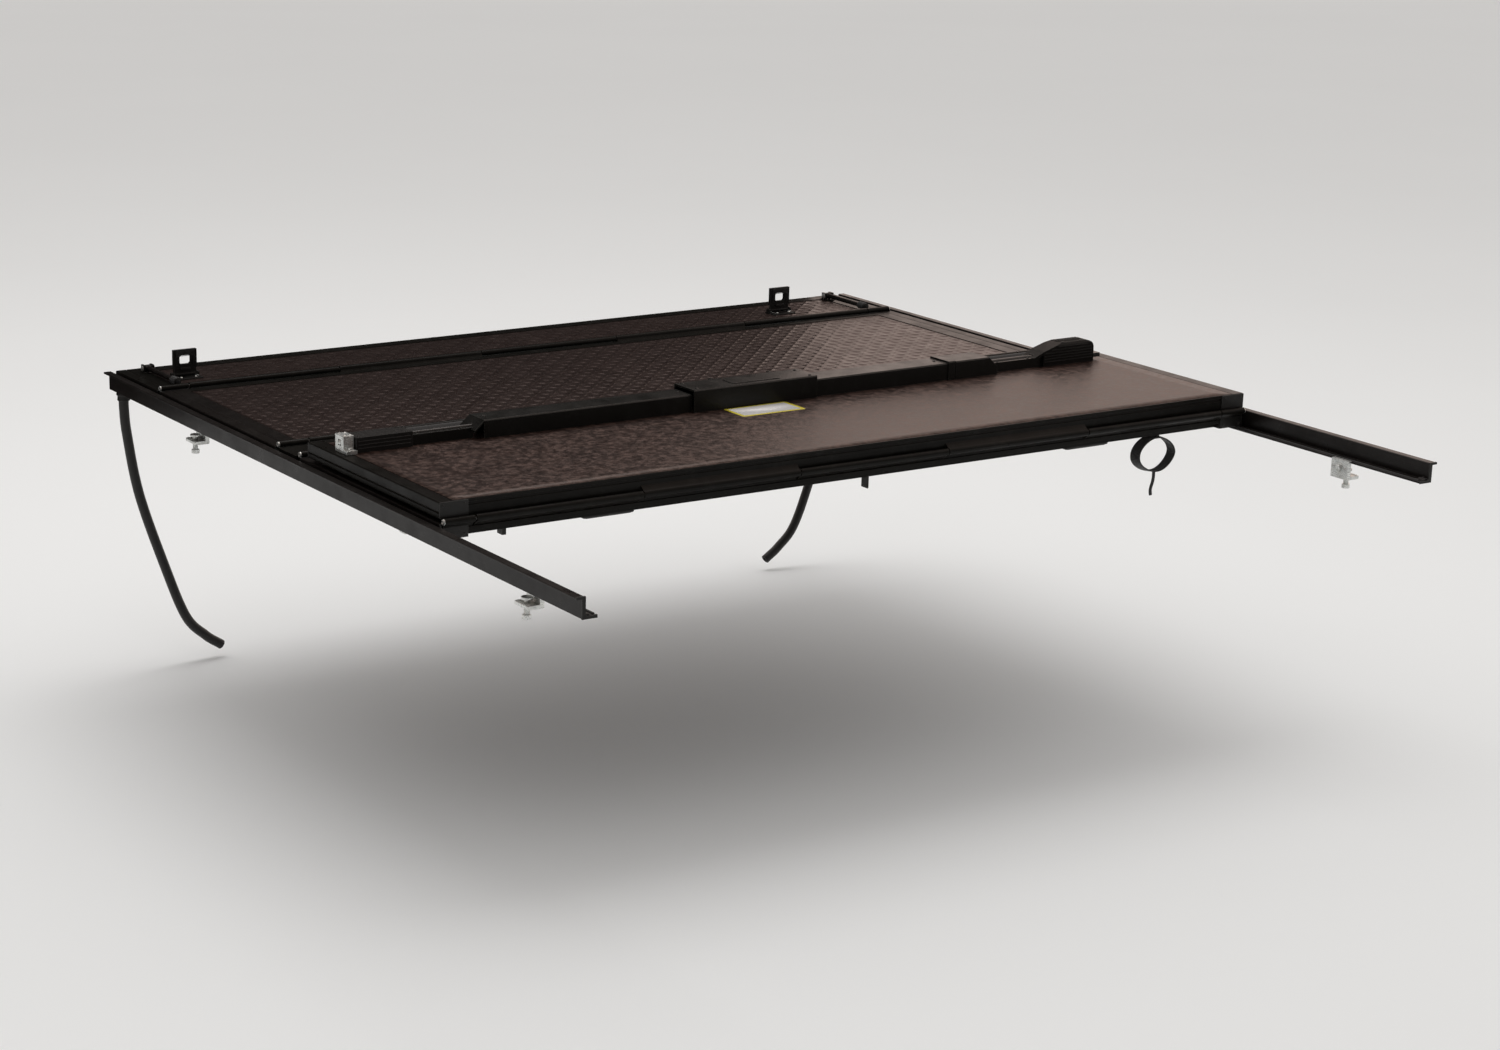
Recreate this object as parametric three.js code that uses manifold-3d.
// Hard folding cover for a pickup truck bed, with its rear panel folded forward onto the third.
// Millimetres. +X is the right-hand side of the truck, +Y points to the cab, +Z is up.
// The origin is the middle of the underside of the cab-side edge bar, where the cover rests
// on the bed's front wall.
import * as THREE from "three";
import { mergeVertices } from "three/addons/utils/BufferGeometryUtils.js";
import Module from "manifold-3d";

const wasm = await Module();
wasm.setup();

// ---------- driving dimensions ----------
const GAP = 0.3; // fitting gap between neighbouring pieces
const HALF_WIDTH = 783; // panels, centre line to side edge
const BOARD_HALF = 734; // sandwich board, centre line to side frame
const BAR_SPAN = [-BOARD_HALF + GAP, BOARD_HALF - GAP]; // x span of boards and bars
const THICK = 26; // panel thickness
const PIVOT_UP = 3; // hinge axis above the panels' top plane
const PIVOT_Z = 35; // hinge axis height
const TOP = -PIVOT_UP; // panel planes, from the hinge axis
const UNDER = TOP - THICK;
const TREAD_DOWN = 1.5; // board skin below the bars' top
const SEAM = 7.5; // end of each panel's bar to the hinge axis
const BAR = 20; // width of each hinge bar
const TAIL_BAR = 22; // width of the rear panel's tail bar
const CAB_EDGE_Y = 14; // cab-side edge; the edge bar is centred on y = 0
const CAB_BAR_HALF = 741; // half length of the cab-side edge bar
const FIRST_SEAM_Y = -172; // hinge axis between front strip and second panel
const SECOND = 466; // second panel, pivot to pivot
const LINK = 78; // hinge link, pivot to pivot
const THIRD = 472; // third panel, pivot to pivot
const REAR = 436; // rear panel, pivot to tail edge
const RAIL_TAIL = -1607; // rear end of the rails

// Both sides of the truck, with the sign of x on each
const LEFT = { sign: -1, word: "left" };
const RIGHT = { sign: 1, word: "right" };

// ---------- materials ----------
const standard = (settings) => new THREE.MeshStandardMaterial(settings);
const MATERIAL = {
  rail: standard({ color: 0x1d1b19, roughness: 0.42, metalness: 0.6 }),
  frame: standard({ color: 0x1a1814, roughness: 0.45, metalness: 0.6 }),
  board: standard({ color: 0x37302c, roughness: 0.6, metalness: 0.1 }),
  latch: standard({ color: 0x171512, roughness: 0.5, metalness: 0.3 }),
  zinc: standard({ color: 0xb9bcb8, roughness: 0.3, metalness: 0.9 }),
  plastic: standard({ color: 0x1b1a18, roughness: 0.6, metalness: 0 }),
  rubber: standard({ color: 0x141312, roughness: 0.85, metalness: 0 }),
  webbing: standard({ color: 0x151413, roughness: 0.9, metalness: 0 }),
};

// ---------- solids and meshes ----------
const solidOf = (geometry) => {
  const bare = new THREE.BufferGeometry()
    .setAttribute("position", geometry.getAttribute("position"))
    .setIndex(geometry.index);
  const merged = mergeVertices(bare, 1e-4);
  return new wasm.Manifold(
    new wasm.Mesh({
      numProp: 3,
      vertProperties: new Float32Array(merged.attributes.position.array),
      triVerts: new Uint32Array(merged.index.array),
    }),
  );
};
const geometryOf = (solid) => {
  const mesh = solid.getMesh();
  const indexed = new THREE.BufferGeometry();
  const positions = new Float32Array(mesh.vertProperties);
  indexed.setAttribute("position", new THREE.BufferAttribute(positions, 3));
  indexed.setIndex(new THREE.BufferAttribute(new Uint32Array(mesh.triVerts), 1));
  const flat = indexed.toNonIndexed();
  flat.computeVertexNormals();
  return flat;
};
const addPiece = (group, name, solid, material) => {
  const mesh = new THREE.Mesh(geometryOf(solid), material.clone());
  mesh.name = name;
  group.add(mesh);
};
const union = (...solids) => solids.reduce((whole, part) => whole.add(part));

// ---------- spans and outlines ----------
const around = (centre, half) => [centre - half, centre + half];
const middle = ([low, high]) => (low + high) / 2;
const spanOn = (side, inner, outer) => (side.sign > 0 ? [inner, outer] : [-outer, -inner]);
const profileOn = (side, points) => points.map(([x, z]) => [side.sign * x, z]);
// Depths below a panel's underside, turned into z
const depths = (deep, shallow) => [UNDER - deep, UNDER - shallow];
const belowPanel = (points) => points.map(([across, depth]) => [across, UNDER - depth]);
const roundOutline = (count, pointAt) =>
  Array.from({ length: count }, (_, i) => pointAt((i / count) * Math.PI * 2));

// ---------- basic shapes ----------
const shapeOf = (points) => new THREE.Shape(points.map(([x, y]) => new THREE.Vector2(x, y)));
const flatExtrude = (points, [start, end]) =>
  new THREE.ExtrudeGeometry(shapeOf(points), { depth: end - start, bevelEnabled: false });
// Profile in (y, z), run along x
const alongX = (points, span) => {
  const geometry = flatExtrude(points, span);
  geometry.applyMatrix4(
    new THREE.Matrix4().set(0, 0, 1, span[0], 1, 0, 0, 0, 0, 1, 0, 0, 0, 0, 0, 1),
  );
  return solidOf(geometry);
};
// Profile in (x, z), run along y
const alongY = (points, span) => {
  const geometry = flatExtrude(points, span);
  geometry.applyMatrix4(
    new THREE.Matrix4().set(1, 0, 0, 0, 0, 0, -1, span[1], 0, 1, 0, 0, 0, 0, 0, 1),
  );
  return solidOf(geometry);
};
// Profile in (x, y), run along z
const alongZ = (points, span) => solidOf(flatExtrude(points, span).translate(0, 0, span[0]));
const block = (...spans) => {
  const geometry = new THREE.BoxGeometry(...spans.map(([low, high]) => high - low));
  return solidOf(geometry.translate(...spans.map(middle)));
};
const cylinder = (radius, [start, end], sides) =>
  new THREE.CylinderGeometry(radius, radius, end - start, sides);
const rodX = (radius, span, y, z, sides = 12) =>
  solidOf(cylinder(radius, span, sides).rotateZ(Math.PI / 2).translate(middle(span), y, z));
const rodY = (radius, span, x, z, sides = 12) =>
  solidOf(cylinder(radius, span, sides).translate(x, middle(span), z));
const rodZ = (radius, span, x, y, sides = 16) =>
  solidOf(cylinder(radius, span, sides).rotateX(Math.PI / 2).translate(x, y, middle(span)));
const tubeAlong = (points, radius, sides, steps) => {
  const extrudePath = new THREE.CatmullRomCurve3(
    points.map((point) => new THREE.Vector3(...point)),
  );
  const circle = roundOutline(sides, (angle) => [
    radius * Math.cos(angle),
    radius * Math.sin(angle),
  ]);
  return solidOf(
    new THREE.ExtrudeGeometry(shapeOf(circle), { steps, extrudePath, bevelEnabled: false }),
  );
};

// ---------- hinges ----------
// Knuckles alternate across a seam: three on the cab-side bar, two on the tail-side bar.
const BARREL_R = 6;
const BORE_R = 3.1;
const PIN_R = 2.6;
const BARREL_END = 725; // half length of the barrel
const PIN_OVERHANG = 1;
const KNUCKLE = 289; // length of each outer knuckle
const MIDDLE_HALF = 144; // half length of the middle knuckle
const KNUCKLE_GAP = 2;
const OUTER_START = BARREL_END - KNUCKLE;
const cabKnuckles = [
  spanOn(LEFT, OUTER_START, BARREL_END),
  around(0, MIDDLE_HALF),
  spanOn(RIGHT, OUTER_START, BARREL_END),
];
const tailKnuckles = [LEFT, RIGHT].map((side) =>
  spanOn(side, MIDDLE_HALF + KNUCKLE_GAP, OUTER_START - KNUCKLE_GAP),
);
// Arm from bar to barrel: distance from the axis towards the bar, z
const ARM = [
  [-0.5, -5.8],
  [SEAM + 1, -13],
  [SEAM + 1, -3.6],
  [4.5, 2],
  [-0.5, 5.8],
];
// direction is +1 for a bar on the cab side of the axis, -1 for one on the tail side
const knuckles = (direction, spans, y) => {
  const profile = ARM.map(([out, z]) => [y + direction * out, z]);
  return spans.map((span) => alongX(profile, span).add(rodX(BARREL_R, span, y, 0, 16)));
};
const cabArms = (y) => knuckles(1, cabKnuckles, y);
const tailArms = (y) => knuckles(-1, tailKnuckles, y);
const bore = (y) => rodX(BORE_R, around(0, 800), y, 0);
const hingePin = (y) => rodX(PIN_R, around(0, BARREL_END + PIN_OVERHANG), y, 0);

// Bar on the cab side of the axis at y: a groove in its face, its foot set back from the seam
const cabBar = (y) => {
  const face = y + SEAM;
  const profile = [
    [face, TOP - 1],
    [face, TOP - 6],
    [face + 1.6, TOP - 7],
    [face + 1.6, TOP - 10],
    [face, TOP - 11],
    [face, TOP - 17],
    [face + 14, TOP - 17],
    [face + 14, UNDER],
    [face + BAR, UNDER],
    [face + BAR, TOP],
    [face + 1, TOP],
  ];
  return union(alongX(profile, BAR_SPAN), ...cabArms(y)).subtract(bore(y));
};
// Bar on the tail side of the axis at y = 0: full depth, with a shallow groove along its face
const tailBar = () => {
  const profile = [
    [-SEAM - 1, TOP],
    [-SEAM - BAR, TOP],
    [-SEAM - BAR, UNDER],
    [-SEAM, UNDER],
    [-SEAM, TOP - 21],
    [-SEAM - 1.6, TOP - 20],
    [-SEAM - 1.6, TOP - 17],
    [-SEAM, TOP - 16],
    [-SEAM, TOP - 1],
  ];
  return union(alongX(profile, BAR_SPAN), ...tailArms(0)).subtract(bore(0));
};

// ---------- panel parts ----------
// Closed edge section with a flat underside and fine grooves: x, z
const SIDE_PROFILE = [
  [BOARD_HALF, TOP],
  [BOARD_HALF, UNDER],
  [758.8, UNDER],
  [758.8, UNDER + 1.6],
  [760, UNDER + 1.6],
  [760, UNDER],
  [HALF_WIDTH - 1.5, UNDER],
  [HALF_WIDTH, UNDER + 1.5],
  [HALF_WIDTH, TOP - 11],
  [HALF_WIDTH - 1.8, TOP - 9.6],
  [HALF_WIDTH, TOP - 8.2],
  [HALF_WIDTH, TOP - 1.5],
  [HALF_WIDTH - 1.5, TOP],
  [764, TOP],
  [762.5, TOP - 1],
  [761, TOP],
];
const sideFrame = (side, span) => alongY(profileOn(side, SIDE_PROFILE), span);
const board = (span) => block(BAR_SPAN, span, [UNDER + 0.5, TOP - TREAD_DOWN]);

// Bar along the rear panel's tail edge, grooved on its outer face
const tailEdgeBar = (length) => {
  const profile = [
    [-length + 1.5, TOP],
    [-length, TOP - 1.5],
    [-length, TOP - 9],
    [-length + 1.6, TOP - 10],
    [-length + 1.6, TOP - 13],
    [-length, TOP - 14],
    [-length, UNDER],
    [-length + TAIL_BAR, UNDER],
    [-length + TAIL_BAR, TOP],
  ];
  return alongX(profile, BAR_SPAN);
};
const addPanel = (group, prefix, length, hasTailHinge) => {
  const tail = hasTailHinge ? length - SEAM : length;
  const inner = tail - (hasTailHinge ? BAR : TAIL_BAR);
  addPiece(group, `${prefix}_board`, board([-inner + GAP, -SEAM - BAR - GAP]), MATERIAL.board);
  for (const side of [RIGHT, LEFT]) {
    const frame = sideFrame(side, [-tail, -SEAM]);
    addPiece(group, `${prefix}_side_${side.word}`, frame, MATERIAL.frame);
  }
  addPiece(group, `${prefix}_front_bar`, tailBar(), MATERIAL.frame);
  const endBar = hasTailHinge ? cabBar(-length) : tailEdgeBar(length);
  addPiece(group, `${prefix}_tail_bar`, endBar, MATERIAL.frame);
  if (hasTailHinge) {
    addPiece(group, `hinge_pin_${prefix}`, hingePin(-length), MATERIAL.zinc);
  }
};

// ---------- groups: each panel hangs from the hinge axis at its cab end ----------
const groupAt = (parent, y, z) => {
  const group = new THREE.Group();
  group.position.set(0, y, z);
  parent.add(group);
  return group;
};
const cover = new THREE.Group();

// ---------- rails ----------
// Hose and the hole it hangs in, through each rail's floor
const DRAIN = { x: 784.6, y: -22, radius: 9, clearance: 0.6 };
// Floor with a low seal ridge along its inner side, and an outer wall with a drip lip: x, z
const RAIL_PROFILE = [
  [773, 0], [796, 0], [796, 29], [806, 29], [806, 31], [805, 32], [793, 32],
  [792, 31], [792, 3], [778, 3], [778, 3.2], [777.2, 4], [773.8, 4], [773, 3.2],
];
const rail = (side) =>
  alongY(profileOn(side, RAIL_PROFILE), [RAIL_TAIL, CAB_EDGE_Y]).subtract(
    rodZ(DRAIN.radius + DRAIN.clearance, [-5, 5], side.sign * DRAIN.x, DRAIN.y),
  );
for (const side of [RIGHT, LEFT]) {
  addPiece(cover, `rail_${side.word}`, rail(side), MATERIAL.rail);
}

// ---------- front strip, fixed to the rails ----------
const front = groupAt(cover, 0, PIVOT_Z);
const frontFrame = () => {
  const edgeProfile = [
    [-CAB_EDGE_Y, -PIVOT_Z],
    [CAB_EDGE_Y, -PIVOT_Z],
    [CAB_EDGE_Y, TOP - 1.5],
    [CAB_EDGE_Y - 1.5, TOP],
    [-CAB_EDGE_Y, TOP],
  ];
  const sideSpan = [FIRST_SEAM_Y + SEAM, CAB_EDGE_Y];
  return union(
    alongX(edgeProfile, around(0, CAB_BAR_HALF)),
    sideFrame(RIGHT, sideSpan),
    sideFrame(LEFT, sideSpan),
  );
};
const frontBoard = () => board([FIRST_SEAM_Y + SEAM + BAR + GAP, -CAB_EDGE_Y - GAP]);
addPiece(front, "front_frame", frontFrame(), MATERIAL.frame);
addPiece(front, "front_board", frontBoard(), MATERIAL.board);
addPiece(front, "front_hinge_bar", cabBar(FIRST_SEAM_Y), MATERIAL.frame);
addPiece(front, "hinge_pin_front", hingePin(FIRST_SEAM_Y), MATERIAL.zinc);

// ---------- folding panels ----------
const second = groupAt(cover, FIRST_SEAM_Y, PIVOT_Z);
const link = groupAt(second, -SECOND, 0);
const third = groupAt(link, -LINK, 0);
const rear = groupAt(third, -THIRD, 0);
rear.rotation.x = -Math.PI; // folded forward, underside up
addPanel(second, "second", SECOND, true);
addPanel(third, "third", THIRD, true);
addPanel(rear, "rear", REAR, false);

// Link: an inverted trough between two hinge axes, so that the folded pair clears the panel
// it lands on
const hingeLink = () => {
  const wall = 6;
  const tail = -LINK + SEAM;
  const profile = [
    [-SEAM, TOP],
    [tail, TOP],
    [tail, UNDER],
    [tail + wall, UNDER],
    [tail + wall, TOP - wall],
    [-SEAM - wall, TOP - wall],
    [-SEAM - wall, UNDER],
    [-SEAM, UNDER],
  ];
  const sideTab = (side) =>
    block(spanOn(side, BOARD_HALF - 1, HALF_WIDTH), [tail, -SEAM], [TOP - 9.2, TOP]);
  return union(
    alongX(profile, BAR_SPAN),
    sideTab(RIGHT),
    sideTab(LEFT),
    ...tailArms(0),
    ...cabArms(-LINK),
  )
    .subtract(bore(0))
    .subtract(bore(-LINK));
};
addPiece(link, "hinge_link", hingeLink(), MATERIAL.frame);
addPiece(link, "hinge_pin_link", hingePin(-LINK), MATERIAL.zinc);

// ---------- latch parts shared by the third and rear panels ----------
const ROD_Z = -45; // latch rods, from the hinge axis
const ROD_R = 4;
const ROD_START = 60; // inner end of each rod, from the centre line
const CLEARANCE = 0.8; // around rods and bolts in their holes
const TROUGH = { half: 25, depth: 30, wall: 3 };
// Inverted trough over the latch rods
const trough = (y, { half, depth, wall }, span) => {
  const profile = belowPanel([
    [y - half, GAP],
    [y - half, depth - 2],
    [y - half + 2, depth],
    [y + half - 2, depth],
    [y + half, depth - 2],
    [y + half, GAP],
    [y + half - wall, GAP],
    [y + half - wall, depth - wall],
    [y - half + wall, depth - wall],
    [y - half + wall, GAP],
  ]);
  return alongX(profile, span);
};

// ---------- rear latch, under the rear panel ----------
const REAR_LATCH_Y = -351; // its rods, from the rear hinge axis
const HOUSING = { span: [-134, 113], half: 31, depth: 38, wall: 3.5 };
const HOUSING_GAP = 1; // housing to the covers beside it
const TRAY = { half: 13, depth: 17 };
const LEFT_GUIDE = [-751.5, -652]; // x span
const RIGHT_GUIDE = { span: [612, 725], half: 18, depth: 38.6, corner: 14 };
// Block on the right-hand rod, within the right guide
const RIGHT_BOLT = { half: 12, deep: 20.2, shallow: 5.3 };

const acrossLatch = (half) => around(REAR_LATCH_Y, half);
const rodHole = (span) =>
  block(span, acrossLatch(ROD_R + CLEARANCE), around(ROD_Z, ROD_R + CLEARANCE));
const tray = (span) => block(span, acrossLatch(TRAY.half), depths(TRAY.depth, GAP));

// Its outer end slopes in to a low tray that carries the rod on to the guide
const rearCoverLeft = () => {
  const slope = belowPanel([[-526, 30], [-544, 14], [-544, 10.6], [-526, 26.6]]);
  return union(
    trough(REAR_LATCH_Y, TROUGH, [-527, HOUSING.span[0] - HOUSING_GAP]),
    alongY(slope, acrossLatch(TROUGH.half)),
    tray([LEFT_GUIDE[1] + GAP, -541]),
  ).subtract(rodHole([-660, -500]));
};
// It ends in a collar, a slightly larger sleeve, a sloping end and the same kind of tray
const rearCoverRight = () => {
  const collar = { half: 27, depth: 33, wall: 5 };
  const sleeve = { half: 26.4, depth: 31.8, wall: 4.4 };
  const slope = belowPanel([[482, sleeve.depth], [501, 14], [501, GAP], [482, GAP]]);
  return union(
    trough(REAR_LATCH_Y, TROUGH, [HOUSING.span[1] + HOUSING_GAP, 483]),
    trough(REAR_LATCH_Y, collar, [394, 407]),
    trough(REAR_LATCH_Y, sleeve, [410, 483]),
    alongY(slope, acrossLatch(sleeve.half)),
    tray([490, RIGHT_GUIDE.span[0] - GAP]),
  ).subtract(rodHole([470, 660]));
};
const rearHousing = () => {
  const ears = [LEFT, RIGHT].map((side) =>
    block(
      spanOn(side, 56, 62),
      [REAR_LATCH_Y - 39, REAR_LATCH_Y - 30],
      depths(HOUSING.depth, 26),
    ),
  );
  return union(trough(REAR_LATCH_Y, HOUSING, HOUSING.span), ...ears);
};
// Paddle on the tail side of the housing, hung between its two ears
const rearPaddle = () => {
  const hingeDepth = 33;
  const plateY = around(REAR_LATCH_Y - 35.6, 1.8);
  return union(
    rodX(3.4, around(0, 55), middle(plateY), UNDER - hingeDepth),
    block(around(0, 52), plateY, depths(hingeDepth, 6)),
  );
};
const rearGuideLeft = () =>
  block(LEFT_GUIDE, acrossLatch(20), depths(25, GAP)).subtract(rodHole([-760, -640]));
const BRACKET_SPAN = [-771, LEFT_GUIDE[0] - 1];
const rearBracketLeft = () =>
  union(
    block(BRACKET_SPAN, acrossLatch(14), depths(28, 6)),
    block(BRACKET_SPAN, [REAR_LATCH_Y - 14, REAR_LATCH_Y + 26], depths(6.5, GAP)),
  ).subtract(rodHole([-780, -745]));
const rearBoltLeft = () => rodX(ROD_R, [BRACKET_SPAN[0], -ROD_START], REAR_LATCH_Y, ROD_Z);

// Cutter that rounds the right guide's outer corner, furthest from the panel
const guideCorner = () => {
  const { span, depth, corner } = RIGHT_GUIDE;
  const end = span[1];
  const start = depth - corner;
  const points = [[end + 10, 45], [end + 10, start], [end, start]];
  for (let i = 1; i <= 6; i++) {
    const angle = (i / 6) * (Math.PI / 2);
    points.push([end - corner + corner * Math.cos(angle), start + corner * Math.sin(angle)]);
  }
  points.push([end - corner, 45]);
  return alongY(belowPanel(points), acrossLatch(30));
};
// Moulded block whose inner end slopes in to the rod's tray, with a sloping lip over the tray
const rearGuideRight = () => {
  const { span, half, depth } = RIGHT_GUIDE;
  const body = belowPanel([
    [REAR_LATCH_Y - half, GAP],
    [REAR_LATCH_Y - half, depth - 3],
    [REAR_LATCH_Y - half + 3, depth],
    [REAR_LATCH_Y + half - 3, depth],
    [REAR_LATCH_Y + half, depth - 3],
    [REAR_LATCH_Y + half, GAP],
  ]);
  const slopeCut = belowPanel([[600, 27], [span[0], 27], [650, depth], [650, 45], [600, 45]]);
  const lip = belowPanel([[591, 17.6], [613, 27], [613, 21], [599, 17.6]]);
  const boltHole = block(
    [640, 735],
    acrossLatch(RIGHT_BOLT.half + CLEARANCE),
    depths(RIGHT_BOLT.deep + CLEARANCE, RIGHT_BOLT.shallow - CLEARANCE),
  );
  return union(
    alongX(body, span).subtract(guideCorner()).subtract(alongY(slopeCut, acrossLatch(30))),
    alongY(lip, acrossLatch(17)),
  )
    .subtract(rodHole([585, 660]))
    .subtract(boltHole);
};
const rearBoltRight = () => {
  const { half, deep, shallow } = RIGHT_BOLT;
  return union(
    rodX(ROD_R, [ROD_START, 690], REAR_LATCH_Y, ROD_Z),
    block([680, RIGHT_GUIDE.span[1]], acrossLatch(half), depths(deep, shallow)),
    block([724, 745], acrossLatch(half), depths(12.5, shallow)),
  );
};
addPiece(rear, "rear_cover_left", rearCoverLeft(), MATERIAL.latch);
addPiece(rear, "rear_cover_right", rearCoverRight(), MATERIAL.latch);
addPiece(rear, "rear_latch_housing", rearHousing(), MATERIAL.latch);
addPiece(rear, "rear_release_paddle", rearPaddle(), MATERIAL.plastic);
addPiece(rear, "rear_guide_left", rearGuideLeft(), MATERIAL.plastic);
addPiece(rear, "rear_bracket_left", rearBracketLeft(), MATERIAL.zinc);
addPiece(rear, "rear_bolt_left", rearBoltLeft(), MATERIAL.zinc);
addPiece(rear, "rear_guide_right", rearGuideRight(), MATERIAL.plastic);
addPiece(rear, "rear_bolt_right", rearBoltRight(), MATERIAL.latch);

// ---------- middle latch, under the third panel ----------
const MID_LATCH_Y = -326; // its rods, from the link's rear axis
const MID_BOLT = { half: 9, down: 7, up: 5 }; // block on each rod; down and up from the rod
const midGuide = (side) => {
  const { half, down, up } = MID_BOLT;
  const hole = block(
    spanOn(side, 630, 710),
    around(MID_LATCH_Y, half + CLEARANCE),
    [ROD_Z - down - CLEARANCE, ROD_Z + up + CLEARANCE],
  );
  const body = block(spanOn(side, 640, 698), around(MID_LATCH_Y, 17), depths(30, GAP));
  return body.subtract(hole);
};
const midBolt = (side) => {
  const { half, down, up } = MID_BOLT;
  return union(
    rodX(ROD_R, spanOn(side, ROD_START, 705), MID_LATCH_Y, ROD_Z),
    block(spanOn(side, 701, 770.5), around(MID_LATCH_Y, half), [ROD_Z - down, ROD_Z + up]),
  );
};
const midHub = () => {
  const oval = roundOutline(20, (angle) => [
    17 * Math.cos(angle),
    MID_LATCH_Y + 12 * Math.sin(angle),
  ]);
  return alongZ(oval, depths(25.5, 21.5));
};
// Webbing pull: a flat strip from the right-hand rod towards the tail edge, with a hanging
// loop and a narrow tail below it
const STRAP = { x: 610, half: 11, tail: -452, thick: 2.6 };
const pullStrap = () => {
  const loop = (inset) =>
    roundOutline(28, (angle) => [
      STRAP.x + (38 + 3 * Math.cos(2 * angle) - inset) * Math.cos(angle),
      UNDER - 34 + (31 - inset) * Math.sin(angle),
    ]);
  const width = around(STRAP.x, STRAP.half);
  const wrapStart = MID_LATCH_Y - 10;
  return union(
    alongY(loop(0), [STRAP.tail, -430]).subtract(alongY(loop(STRAP.thick), [-460, -420])),
    block(width, [STRAP.tail, MID_LATCH_Y - 8], depths(5.6, 3.2)),
    block(width, [wrapStart, MID_LATCH_Y - 7.6], depths(22.5, 3.2)),
    block(width, [wrapStart, MID_LATCH_Y + 7.2], depths(22.5, 20.8)),
    block(around(STRAP.x, 3), [-442, -440], depths(108, 62)),
  );
};
addPiece(third, "mid_latch_cover", trough(MID_LATCH_Y, TROUGH, around(0, 560)), MATERIAL.latch);
for (const side of [LEFT, RIGHT]) {
  addPiece(third, `mid_guide_${side.word}`, midGuide(side), MATERIAL.plastic);
  addPiece(third, `mid_bolt_${side.word}`, midBolt(side), MATERIAL.zinc);
}
addPiece(third, "mid_hub", midHub(), MATERIAL.zinc);
addPiece(third, "mid_pull_strap", pullStrap(), MATERIAL.webbing);

// ---------- prop rods, lying on the front strip ----------
const PROP = { x: 738, y: -24, z: 40, length: 130 }; // x, y, z of the pivot
const FRAME_TOP = PIVOT_Z + TOP;
const propBracket = (x) => {
  const { y, z } = PROP;
  const cheek = (span) => block(span, around(y, 7), [FRAME_TOP + 1, z + 6]);
  return union(
    block(around(x, 10), around(y, 12), [FRAME_TOP + GAP, FRAME_TOP + 1.8]),
    cheek([x - 10, x - 6]),
    cheek([x + 6, x + 10]),
    rodX(2.5, around(x, 10), y, z, 10),
  );
};
const propRod = (x) => {
  const { y, z } = PROP;
  const end = y - PROP.length;
  const eye = rodX(6, around(x, 5.4), y, z, 14);
  const shaft = rodY(4.5, [end + 18, y - 4], x, z);
  const tip = rodY(6.4, [end, end + 20], x, z, 14);
  return union(eye, shaft, tip).subtract(rodX(3.1, around(x, 20), y, z));
};
for (const { sign, word } of [LEFT, RIGHT]) {
  addPiece(cover, `prop_bracket_${word}`, propBracket(sign * PROP.x), MATERIAL.latch);
  addPiece(cover, `prop_rod_${word}`, propRod(sign * PROP.x), MATERIAL.rail);
}

// ---------- stowage buckles, standing on the front board ----------
const BUCKLE = { left: -695, right: 575, y: -87, z: 37 }; // x of each; y and z of the pivots
const BOARD_TOP = FRAME_TOP - TREAD_DOWN;
const buckleBase = (x) => {
  const { y, z } = BUCKLE;
  const cheek = (span) => block(span, around(y, 5), [BOARD_TOP + 1, z + 3.4]);
  return union(
    block(around(x, 26), [y - 22, y + 9], [BOARD_TOP + GAP, BOARD_TOP + 2.6]),
    cheek([x - 26, x - 22]),
    cheek([x + 22, x + 26]),
    rodX(1.8, around(x, 26), y, z, 10),
  );
};
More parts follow.
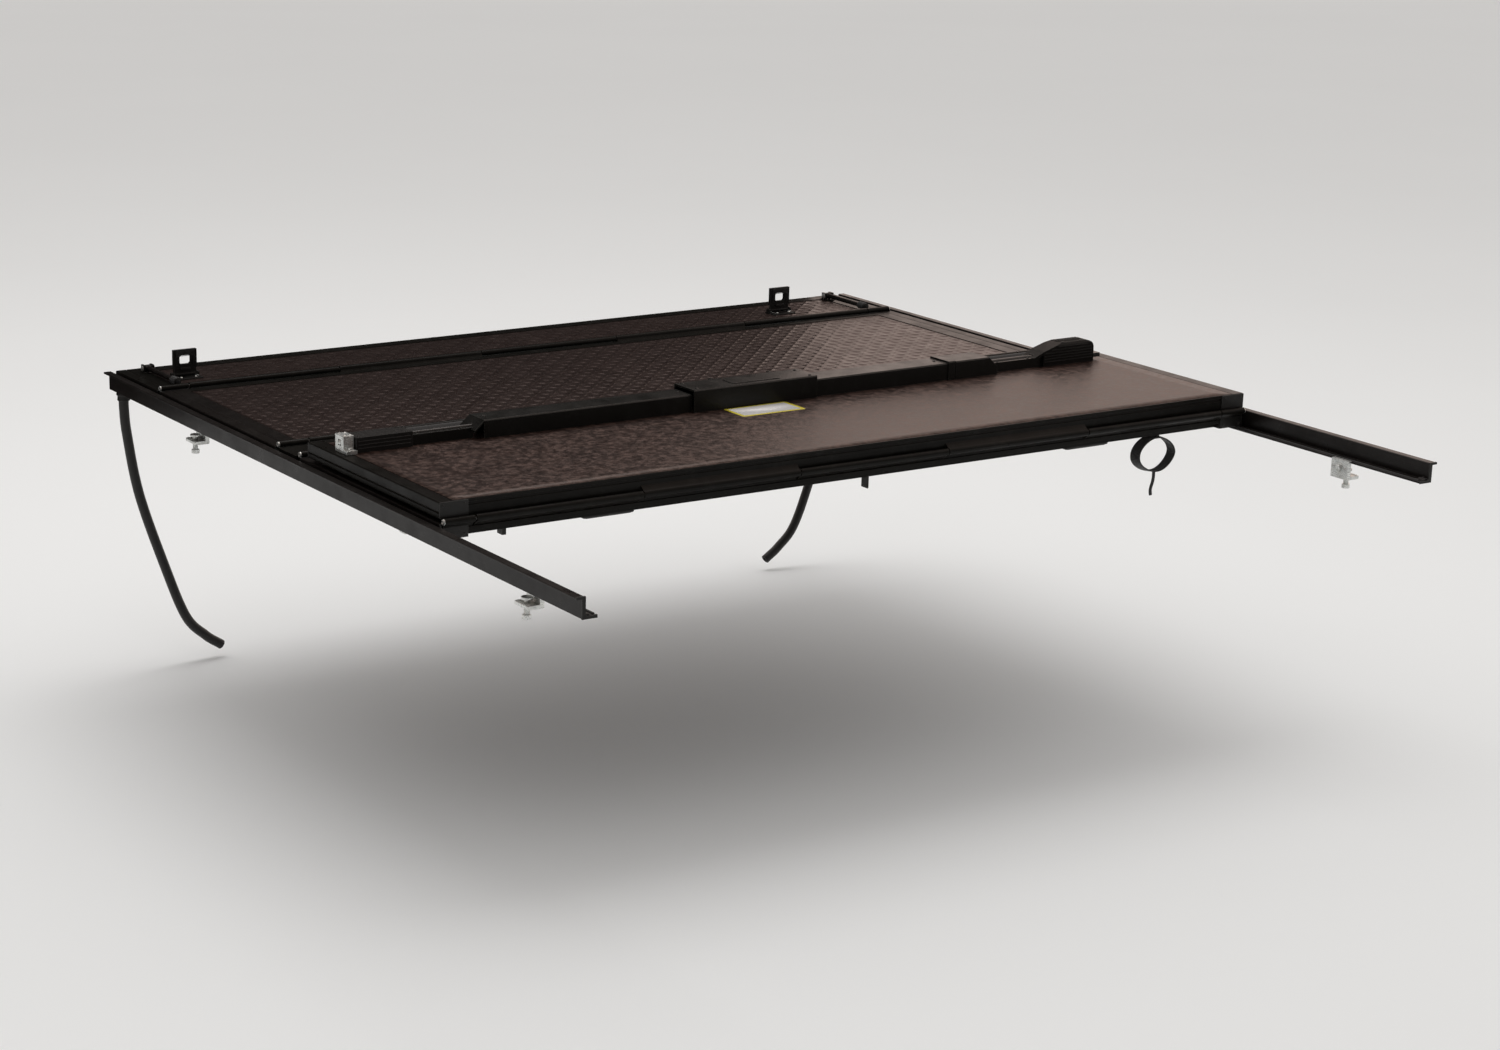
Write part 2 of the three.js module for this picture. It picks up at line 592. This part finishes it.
// Window through the clip's head: x and z from the pivot
const CLIP_WINDOW = [
  [-11, 21], [-8, 18], [8, 18], [11, 21], [11, 31], [8, 34], [-8, 34], [-11, 31],
];
const buckleClip = (x) => {
  const { y, z } = BUCKLE;
  const window = CLIP_WINDOW.map(([across, up]) => [x + across, z + up]);
  const head = block(around(x, 22), around(y, 3.6), [z + 11, z + 44]);
  return union(
    rodX(3.4, around(x, 21.4), y, z, 14),
    block(around(x, 21), around(y, 2.6), [z, z + 12]),
    head.subtract(alongY(window, around(y, 8))),
  ).subtract(rodX(2.3, around(x, 30), y, z));
};
for (const { word } of [LEFT, RIGHT]) {
  addPiece(cover, `buckle_base_${word}`, buckleBase(BUCKLE[word]), MATERIAL.plastic);
  addPiece(cover, `buckle_clip_${word}`, buckleClip(BUCKLE[word]), MATERIAL.plastic);
}

// ---------- clamps: hooks on the rails' inner edges, each with a screw ----------
const CLAMP_Y = { front: -322, rear: -1437 };
const CLAMP_SCREW_X = 783;
// Hook section: x, z
const CLAMP_PROFILE = [
  [765.3, 4.5], [765.3, -27], [766.3, -28], [791, -28], [792, -27],
  [792, -23], [791, -22], [772.7, -22], [772.7, 4.5],
];
const clampBody = (side, x, y) =>
  alongY(profileOn(side, CLAMP_PROFILE), around(y, 19)).subtract(
    rodZ(4.8, [-40, -10], x, y, 12),
  );
// Pressure disc, shank and hexagonal head
const clampScrew = (x, y) =>
  union(
    rodZ(8.5, [-17, -13], x, y),
    rodZ(4, [-40, -16], x, y, 12),
    rodZ(7, [-46, -39], x, y, 6),
  );
for (const [place, y] of Object.entries(CLAMP_Y)) {
  for (const side of [LEFT, RIGHT]) {
    const x = side.sign * CLAMP_SCREW_X;
    const ending = `${place}_${side.word}`;
    addPiece(cover, `clamp_body_${ending}`, clampBody(side, x, y), MATERIAL.zinc);
    addPiece(cover, `clamp_screw_${ending}`, clampScrew(x, y), MATERIAL.zinc);
  }
}

// ---------- drain hoses at the front corners ----------
// Hose centre line: x, z
const HOSE_PATH = [
  [DRAIN.x, 2.4], [DRAIN.x, -30], [780, -80], [760, -190],
  [716, -325], [676, -428], [638, -470], [604, -496],
];
const drainHose = (side) => {
  const path = HOSE_PATH.map(([x, z]) => [side.sign * x, DRAIN.y, z]);
  return tubeAlong(path, DRAIN.radius, 10, 20);
};
for (const side of [LEFT, RIGHT]) {
  addPiece(cover, `drain_hose_${side.word}`, drainHose(side), MATERIAL.rubber);
}

export default cover;
